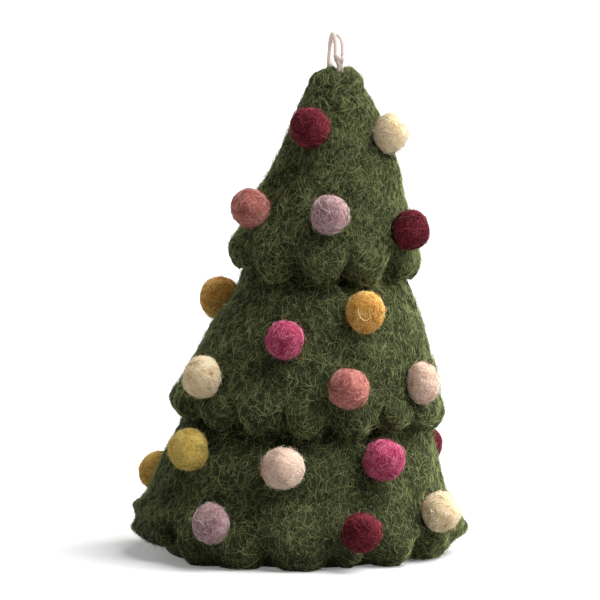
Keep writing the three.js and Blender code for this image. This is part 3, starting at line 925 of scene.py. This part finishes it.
def felt_ball(number, colour, centre, radius):
    name = f"pom_pom_{number:02d}_{colour}"
    bm = bmesh.new()
    bmesh.ops.create_icosphere(bm, subdivisions=4, radius=radius * MM)
    bmesh.ops.translate(bm, verts=bm.verts, vec=Vector(centre) * MM)
    piece = new_piece(f"{name}_felt", bm, ball_felts[colour])
    points = read_points(piece.data)
    # Rolled by hand, so a little out of round, with faint lumps
    uneven = 0.16 * lumps(points, 8, 100 + number) + 0.05 * lumps(points, 2.5, 200 + number)
    wide, tall, pinch = BALL_SHAPES.get(number, (1, 1, 0))
    rise = (points[:, 2] - centre[2]) / radius
    waist = 1 - pinch * np.exp(-(((rise - 0.3) / 0.22) ** 2))
    grown = 1 + (uneven - BALL_SHRINK) / radius
    stretch = np.stack([wide * waist, wide * waist, np.full(len(points), tall)], axis=1)
    points = centre + (points - centre) * stretch * grown[:, None]
    tones = 0.42 + 0.06 * lumps(points, 4, 300 + number)
    if number == HOLED_BALL:
        nearness = np.linalg.norm(points - front_point(number, *HOLE_PLACE, 0), axis=1)
        hole = np.exp(-((nearness / HOLE_RADIUS) ** 2))
        points = points - unit(points - centre) * hole[:, None]
        # Painted shade: the dent is darker than the rest of the ball
        tones = tones - 0.8 * hole
    write_points(piece.data, points)
    write_tones(piece.data, tones)
    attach(piece, "tree")
    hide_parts(name)
    return piece


ball_pieces = []
for index, (tier, colour, *place) in enumerate(BALLS):
    ball_pieces.append((colour, felt_ball(index + 1, colour, BALL_CENTRES[index], BALL_RADII[index])))


# Wool fibres, laid over the felt as thin spindles

FIBRE_SIDES = 3
# How far above the next hem a tier still has fibres: they show in the notches
COVERED_MARGIN = 8


def surface_spots(piece, count, rng, accepts):
    """Random spots spread evenly over a piece, with the surface's normals there."""
    mesh = piece.data
    mesh.calc_loop_triangles()
    corners = np.empty(len(mesh.loop_triangles) * 3, np.int32)
    mesh.loop_triangles.foreach_get("vertices", corners)
    triangles = read_points(mesh)[corners.reshape(-1, 3)]
    crossed = np.cross(triangles[:, 1] - triangles[:, 0], triangles[:, 2] - triangles[:, 0])
    areas = np.linalg.norm(crossed, axis=1)
    normals = crossed / np.maximum(areas, 1e-9)[:, None]
    weights = areas * accepts(triangles.mean(axis=1), normals)
    chosen = rng.choice(len(triangles), count, p=weights / weights.sum())
    first, second = rng.random((2, count, 1))
    turned = first + second > 1
    first = np.where(turned, 1 - first, first)
    second = np.where(turned, 1 - second, second)
    picked = triangles[chosen]
    spots = picked[:, 0] + first * (picked[:, 1] - picked[:, 0]) + second * (picked[:, 2] - picked[:, 0])
    return spots, normals[chosen]


def walk_surface(piece, spots, normals, lengths, curls, segments, rng, spread=None):
    """Paths that start at the spots and follow the surface, turning as they go, with the normals along
    them. They start in any direction, or within a spread of straight down."""
    nearest = BVHTree.FromObject(piece, bpy.context.evaluated_depsgraph_get()).find_nearest
    paths = np.empty((len(spots), segments + 1, 3))
    ups = np.empty_like(paths)
    headings = unit(np.cross(normals, rng.normal(size=normals.shape)))
    if spread:
        downhill = unit(normals * normals[:, 2:] - [0, 0, 1] + 1e-6)
        turns = rng.normal(0, spread, len(spots))[:, None]
        headings = np.cos(turns) * downhill + np.sin(turns) * np.cross(normals, downhill)
    for fibre in range(len(spots)):
        place = Vector(spots[fibre] * MM)
        normal = Vector(normals[fibre])
        heading = Vector(headings[fibre])
        stride = lengths[fibre] / segments * MM
        turn = curls[fibre] / segments
        paths[fibre, 0] = place
        ups[fibre, 0] = normal
        for step in range(1, segments + 1):
            place, normal, *_ = nearest(place + heading * stride)
            heading = Quaternion(normal, turn) @ (heading - normal * heading.dot(normal)).normalized()
            paths[fibre, step] = place
            ups[fibre, step] = normal
    return paths / MM, ups


def fibre_piece(name, paths, ups, radii, tones, material):
    """Thin spindles along paths: one spindle, copied by an Array, then moved onto its path."""
    count, rings = paths.shape[:2]
    segments = rings - 1
    bm = bmesh.new()
    bmesh.ops.create_uvsphere(bm, u_segments=FIBRE_SIDES, v_segments=segments, radius=1)
    bm.verts.ensure_lookup_table()
    shape = np.array([vert.co for vert in bm.verts])
    ring = np.rint(np.arccos(np.clip(-shape[:, 2], -1, 1)) / math.pi * segments).astype(int)
    angle = np.arctan2(shape[:, 1], shape[:, 0])
    cell = bm.loops.layers.uv.new("OFBake")
    for face in bm.faces:
        for loop in face.loops:
            row = ring[loop.vert.index] / segments
            side = (angle[loop.vert.index] / (2 * math.pi)) % 1
            loop[cell].uv = (0.15 + 0.7 * side, 0.15 + 0.7 * row)
    piece = new_piece(name, bm, material)
    copies = piece.modifiers.new("copies", "ARRAY")
    copies.count = count
    bpy.context.view_layer.update()
    mesh = bpy.data.meshes.new_from_object(piece.evaluated_get(bpy.context.evaluated_depsgraph_get()))
    piece.modifiers.clear()
    piece.data = mesh
    along = unit(np.gradient(paths, axis=1))
    across = unit(np.cross(along, ups))
    outward = np.cross(across, along)
    thickness = np.sin(math.pi * ring / segments) ** 0.6
    spread = (
        across[:, ring] * (np.cos(angle) * thickness)[None, :, None]
        + outward[:, ring] * (np.sin(angle) * thickness)[None, :, None]
    )
    places = paths[:, ring] + spread * radii[:, None, None]
    write_points(mesh, places.reshape(-1, 3))
    write_tones(mesh, np.repeat(tones, len(shape)))
    # Each fibre has its own cell of the map, so that its tone stays apart from its neighbours'
    columns = math.ceil(math.sqrt(count))
    corners = np.empty(len(mesh.loops) * 2, np.float32)
    mesh.uv_layers["OFBake"].uv.foreach_get("vector", corners)
    corners = corners.reshape(count, -1, 2)
    cells = np.stack([np.arange(count) % columns, np.arange(count) // columns], axis=1)
    corners = (corners + cells[:, None]) / columns
    mesh.uv_layers["OFBake"].uv.foreach_set("vector", corners.astype(np.float32).ravel())
    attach(piece, "tree")
    return piece


def outside_of(tier):
    """Accepts the faces of a tier that show: the outer wall and the hem, below the tier above."""

    def accepts(centres, normals):
        axis = leaning(np.zeros(len(centres)), 0.0, centres[:, 2])
        outward = unit((centres - axis) * [1, 1, 0])
        shown = (normals * outward).sum(axis=1) > -0.35
        if tier["top_edge"]:
            shown &= centres[:, 2] < tier["top_edge"] - TUCK + COVERED_MARGIN
        return shown * 1.0

    return accepts


def everywhere(centres, normals):
    return np.ones(len(centres))


def arched(segments):
    """How far each ring of a fibre lifts off the felt: both ends dive in, the middle stands clear."""
    return np.sin(math.pi * np.arange(segments + 1) / segments)


def laid_paths(piece, accepts, count, lengths, curl, segments, rng):
    """Paths of fibres strewn over a piece in any direction, with the normals along them."""
    spots, normals = surface_spots(piece, count, rng, accepts)
    drawn = rng.uniform(*lengths, count)
    curls = rng.normal(0, curl, count)
    return walk_surface(piece, spots, normals, drawn, curls, segments, rng)


def lifted_off(paths, ups, lift, gap, lowest):
    """Paths raised off the felt, kept out of the balls and above the floor."""
    paths = clear_of_balls(paths + ups * lift[..., None], gap)
    paths[..., 2] = np.maximum(paths[..., 2], lowest)
    return paths


def two_tones(rng, count, pale_share, pale, dark):
    """Tones of mixed wool: some fibres pale and the others dark, each as a mean and a spread."""
    is_pale = rng.random(count) < pale_share
    return np.clip(np.where(is_pale, rng.normal(*pale, count), rng.normal(*dark, count)), 0, 1)


# The nap is combed downhill, give or take this many radians
COMBED_SPREAD = 0.8
NAP_GAP = 0.1
LOWEST_NAP = 0.08
LOWEST_HAIR = 0.1


def felt_nap(tier, piece, layer, count, lengths, radii, seed):
    """One layer of the dense mat of short fibres on a tier."""
    rng = np.random.default_rng(seed)
    segments = 3
    spots, normals = surface_spots(piece, count, rng, outside_of(tier))
    curls = rng.normal(0, 0.7, count)
    paths, ups = walk_surface(
        piece, spots, normals, rng.uniform(*lengths, count), curls, segments, rng, COMBED_SPREAD
    )
    lift = rng.uniform(0.05, 0.36, count)[:, None] * arched(segments) - 0.05
    paths = lifted_off(paths, ups, lift, NAP_GAP, LOWEST_NAP)
    tones = two_tones(rng, count, pale_share=0.3, pale=(0.92, 0.12), dark=(0.3, 0.17))
    name = f"{tier['name']}_{layer}_nap"
    nap = fibre_piece(name, paths, ups, rng.uniform(*radii, count), tones, green_fibre)


def stray_hairs(tier, piece, count, seed):
    """Long loose hairs that lift off a tier."""
    rng = np.random.default_rng(seed)
    segments = 4
    paths, ups = laid_paths(piece, outside_of(tier), count, (2, 6), 1.6, segments, rng)
    free = np.linspace(0, 1, segments + 1) ** 2
    arch = rng.uniform(0.1, 0.5, count)[:, None] * arched(segments)
    lift = arch + rng.gamma(1.2, 0.6, count)[:, None] * free
    paths = lifted_off(paths, ups, lift, BALL_GAP, LOWEST_HAIR)
    tones = np.clip(rng.normal(0.85, 0.2, count), 0.4, 1.2)
    radii = rng.uniform(0.025, 0.045, count)
    hairs = fibre_piece(f"{tier['name']}_hairs", paths, ups, radii, tones, green_fibre)


def caught_fibres(tier, piece, count, seed):
    """A few fibres of the balls' terracotta wool that are caught in a tier."""
    rng = np.random.default_rng(seed)
    segments = 3
    paths, ups = laid_paths(piece, outside_of(tier), count, (1.2, 3), 0.7, segments, rng)
    lift = rng.uniform(0.2, 0.45, count)[:, None] * arched(segments)
    paths = lifted_off(paths, ups, lift, NAP_GAP, LOWEST_HAIR)
    tones = rng.uniform(0.1, 0.4, count)
    radii = rng.uniform(0.035, 0.06, count)
    name = f"{tier['name']}_caught_fibres"
    fibres = fibre_piece(name, paths, ups, radii, tones, ball_fibre["terracotta"])


NAP_COUNTS = {"bottom_tier": 14000, "middle_tier": 13000, "top_tier": 10500}
HAIR_COUNTS = {"bottom_tier": 6500, "middle_tier": 6000, "top_tier": 5200}
CAUGHT_COUNT = 70
LONG_HAIR_COUNT = 70
# Layers of the nap: lengths and radii in millimetres, and the first seed
NAP_LAYERS = {"long": ((1.6, 4.4), (0.045, 0.08), 31), "short": ((0.9, 2.2), (0.04, 0.075), 91)}
for index, (tier, piece) in enumerate(tier_pieces):
    for layer, (lengths, radii, seed) in NAP_LAYERS.items():
        felt_nap(tier, piece, layer, NAP_COUNTS[tier["name"]], lengths, radii, seed + index)
    stray_hairs(tier, piece, HAIR_COUNTS[tier["name"]], seed=41 + index)
    caught_fibres(tier, piece, CAUGHT_COUNT, seed=51 + index)


def ball_fibres(colour, pieces, seed):
    """Fibres wound round every ball of one colour, and a few that stand off."""
    rng = np.random.default_rng(seed)
    segments = 4
    wound = 600
    laid = []
    for piece in pieces:
        paths, ups = laid_paths(piece, everywhere, wound, (1.5, 4.5), 1.1, segments, rng)
        lift = rng.uniform(0.02, 0.14, wound)
        loose = rng.random(wound) < 0.28
        free = np.linspace(0, 1, segments + 1) ** 2 * rng.uniform(0.2, 1.0, wound)[:, None]
        height = lift[:, None] * arched(segments) - 0.02 + loose[:, None] * free
        laid.append((paths + ups * height[..., None], ups))
    paths = np.concatenate([path for path, up in laid])
    ups = np.concatenate([up for path, up in laid])
    count = len(paths)
    tones = two_tones(rng, count, pale_share=0.45, pale=(0.88, 0.15), dark=(0.25, 0.2))
    radii = rng.uniform(0.035, 0.07, count)
    fibres = fibre_piece(f"{colour}_ball_fibres", paths, ups, radii, tones, ball_fibre[colour])


for index, colour in enumerate(BALL_WOOL):
    ball_fibres(colour, [piece for own, piece in ball_pieces if own == colour], seed=61 + index)


def long_hairs(tier, piece, count, seed):
    """A few very long pale hairs that wander over a tier."""
    rng = np.random.default_rng(seed)
    segments = 8
    paths, ups = laid_paths(piece, outside_of(tier), count, (7, 15), 1.4, segments, rng)
    lift = rng.uniform(0.25, 0.9, count)[:, None] * arched(segments) + 0.1
    paths = lifted_off(paths, ups, lift, BALL_GAP, LOWEST_HAIR)
    radii = np.full(count, 0.045)
    tones = np.full(count, 1.0)
    hairs = fibre_piece(f"{tier['name']}_long_hairs", paths, ups, radii, tones, green_fibre)


for index, (tier, piece) in enumerate(tier_pieces):
    long_hairs(tier, piece, LONG_HAIR_COUNT, seed=71 + index)


def holding_hairs(count, seed):
    """Green hairs that climb from the felt onto the rim of each ball."""
    rng = np.random.default_rng(seed)
    segments = 4
    paths = []
    ups = []
    for centre, (_, outward), radius in zip(BALL_CENTRES, SEATS, BALL_RADII):
        side = unit(np.cross(outward, [0.3, 0.2, 0.9]))
        other = np.cross(outward, side)
        for _ in range(count):
            turn = rng.uniform(0, 2 * math.pi) + np.linspace(0, rng.normal(0, 0.25), segments + 1)
            fall = np.radians(np.linspace(rng.uniform(105, 118), rng.uniform(55, 88), segments + 1))
            ring = np.cos(turn)[:, None] * side + np.sin(turn)[:, None] * other
            way = np.cos(fall)[:, None] * outward + np.sin(fall)[:, None] * ring
            paths.append(centre + way * (radius + rng.uniform(0.0, 0.5)))
            ups.append(way)
    tones = np.clip(rng.normal(0.6, 0.25, len(paths)), 0, 1)
    radii = rng.uniform(0.025, 0.045, len(paths))
    hairs = fibre_piece("holding_hairs", np.array(paths), np.array(ups), radii, tones, green_fibre)


holding_hairs(count=26, seed=81)

# Threads that show on a few balls: ball, wool, thickness, then places (right, up, off the ball)
THREAD_STEP = 0.4
THREAD_TONE = 0.9
THREADS = [
    (
        16,
        "yellow",
        0.13,
        [
            (-1.6, 1.6, 0.1), (-1.7, 0.3, 0.15), (-1.2, -0.9, 0.15), (0, -1.6, 0.2),
            (1.0, -0.8, 0.2), (0.9, 1.0, 0.1),
        ],
    ),
    (15, "cream", 0.22, [(0.2, -1.0, 0.1), (0.8, -1.0, 0.4), (1.4, -1.0, 0.7), (2.0, -1.05, 1.0)]),
    (18, "cream", 0.12, [(2.2, 1.5, 0.0), (2.8, 1.7, 0.3), (3.4, 1.6, 0.5), (3.9, 1.2, 0.5)]),
    (28, "crimson", 0.06, [(0.5, -0.5, 0.1), (1.2, -0.8, 0.12), (2.0, -0.9, 0.12), (2.7, -0.9, 0.08)]),
    (28, "crimson", 0.06, [(1.1, -1.2, 0.1), (1.7, -1.3, 0.12), (2.3, -1.25, 0.12), (3.0, -1.4, 0.08)]),
    (28, "crimson", 0.05, [(0.9, -0.9, 0.1), (1.3, -0.7, 0.12), (1.7, -0.5, 0.12), (2.1, -0.45, 0.08)]),
]
for index, (number, wool, thickness, places) in enumerate(THREADS):
    route = smooth_route([front_point(number, *place) for place in places], THREAD_STEP)
    away = unit(route - BALL_CENTRES[number - 1])
    radii = np.array([thickness])
    tones = np.array([THREAD_TONE])
    thread = fibre_piece(f"thread_{index + 1}", route[None], away[None], radii, tones, ball_fibre[wool])


# Studio: white floor, a broad soft light from the upper right, a faint one from the back left, and pale
# light all round

PAPER_SEEN = "#d8d8d8"
PAPER_BOUNCE = "#a8a8a8"
PAPER_GLOW = 0.2
ROOM_LEVEL = 0.08


def white_floor():
    """Matt paper that keeps the shadow, and reads as white where light falls on it."""
    material, tree = new_material("white_paper_sweep")
    rays = add_node(tree, "LightPath", {}).outputs
    # The paper gives less light back to the ornament than the camera sees
    shade = add_node(
        tree,
        "Mix",
        {"Factor": rays["Is Camera Ray"], "A": linear(PAPER_BOUNCE), "B": linear(PAPER_SEEN)},
        data_type="RGBA",
    )
    paper = add_node(tree, "BsdfDiffuse", {"Color": shade.outputs["Result"]})
    seen = add_node(tree, "Math", {0: rays["Is Camera Ray"], 1: rays["Is Glossy Ray"]}, operation="MAXIMUM")
    passed = add_node(
        tree,
        "Math",
        {0: seen.outputs["Value"], 1: rays["Is Transmission Ray"]},
        operation="MAXIMUM",
    )
    lifted = add_node(tree, "Math", {0: passed.outputs["Value"], 1: PAPER_GLOW}, operation="MULTIPLY")
    glow = add_node(tree, "Emission", {"Strength": lifted.outputs["Value"]})
    both = add_node(tree, "AddShader", {0: paper.outputs["BSDF"], 1: glow.outputs["Emission"]})
    add_node(tree, "OutputMaterial", {"Surface": both.outputs["Shader"]})
    bm = bmesh.new()
    bmesh.ops.create_grid(bm, x_segments=4, y_segments=4, size=12)
    floor = new_piece("floor", bm, material)


def soft_light(name, bearing, elevation, spread, level):
    """Light from one broad direction. Level 1 lights a surface that faces it at its own colour."""
    light_data = bpy.data.lights.new(name, "SUN")
    light_data.angle = math.radians(spread)
    light_data.energy = level * math.pi
    light = bpy.data.objects.new(name, light_data)
    turn = math.radians(bearing)
    rise = math.radians(elevation)
    way = Vector((math.sin(turn) * math.cos(rise), -math.cos(turn) * math.cos(rise), math.sin(rise)))
    light.location = CAMERA_TARGET + way
    light.rotation_euler = way.to_track_quat("Z", "Y").to_euler()
    bpy.context.scene.collection.objects.link(light)


def pale_room():
    """Even light from all round, and a white background for the camera."""
    world = bpy.data.worlds.new("pale_room")
    world.use_nodes = True
    tree = world.node_tree
    tree.nodes.clear()
    rays = add_node(tree, "LightPath", {})
    room = add_node(tree, "Background", {"Strength": ROOM_LEVEL, "Color": linear("#ffffff")})
    white = add_node(tree, "Background", {"Strength": 1.0, "Color": linear("#ffffff")})
    shown = add_node(
        tree,
        "MixShader",
        {0: rays.outputs["Is Camera Ray"], 1: room.outputs["Background"], 2: white.outputs["Background"]},
    )
    add_node(tree, "OutputWorld", {"Surface": shown.outputs["Shader"]})
    bpy.context.scene.world = world


white_floor()
soft_light("key_light", bearing=89, elevation=50, spread=68, level=2.32)
soft_light("rim_light", bearing=-147, elevation=15, spread=40, level=0.65)
pale_room()

bpy.context.view_layer.update()
